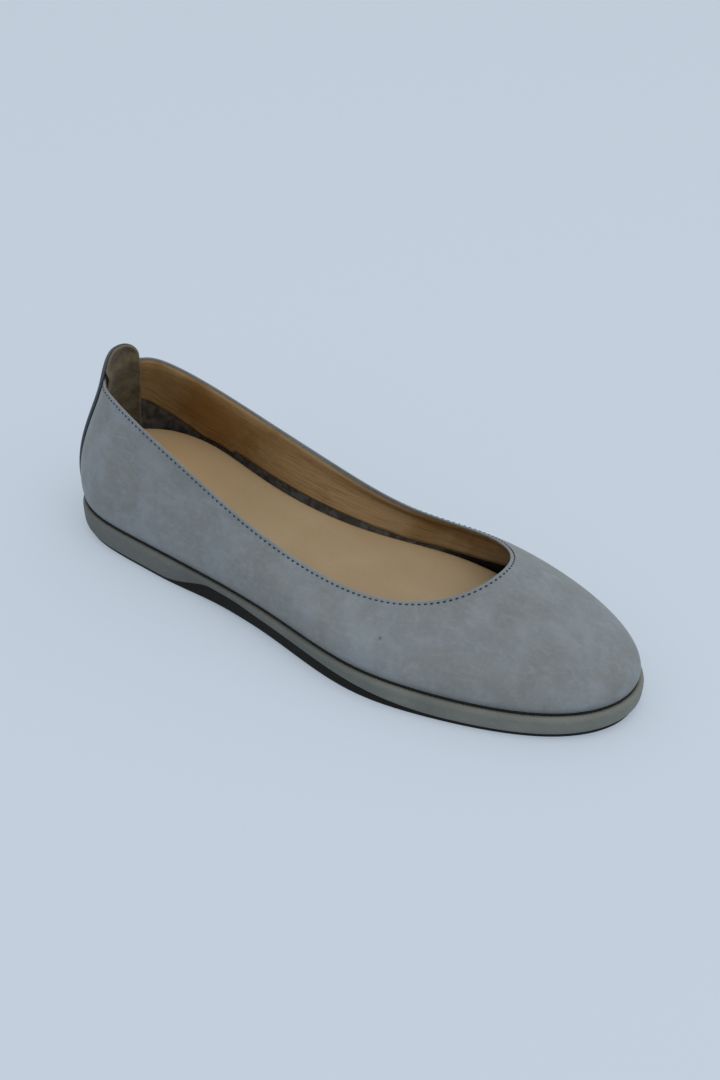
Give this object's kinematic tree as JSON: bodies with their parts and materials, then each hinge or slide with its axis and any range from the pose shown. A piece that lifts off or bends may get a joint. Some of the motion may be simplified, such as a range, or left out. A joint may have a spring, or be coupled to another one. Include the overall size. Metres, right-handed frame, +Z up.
{
  "type": "ballet flat",
  "caption": "Low slip-on ballet flat, right shoe: one-piece hollow upper on a moulded unit sole, with a padded footbed and a pull tab at the back.",
  "frame": {"origin": "on the floor, under the middle of the shoe's box", "axes": "+Z up, the toe points to -Y and the heel to +Y, the outer side of the foot is -X and the inner side +X"},
  "size_m": [0.0916, 0.2502, 0.072],
  "materials": {
    "outsole": "satin",
    "welt": "satin",
    "insole": "satin",
    "upper": "matte",
    "backstay": "matte",
    "heel_grip": "matte"
  },
  "bodies": {
    "root": {"outsole": "outsole", "welt": "welt", "insole": "insole", "upper": "upper", "backstay": "backstay", "heel_grip": "heel_grip"}
  },
  "joints": []
}
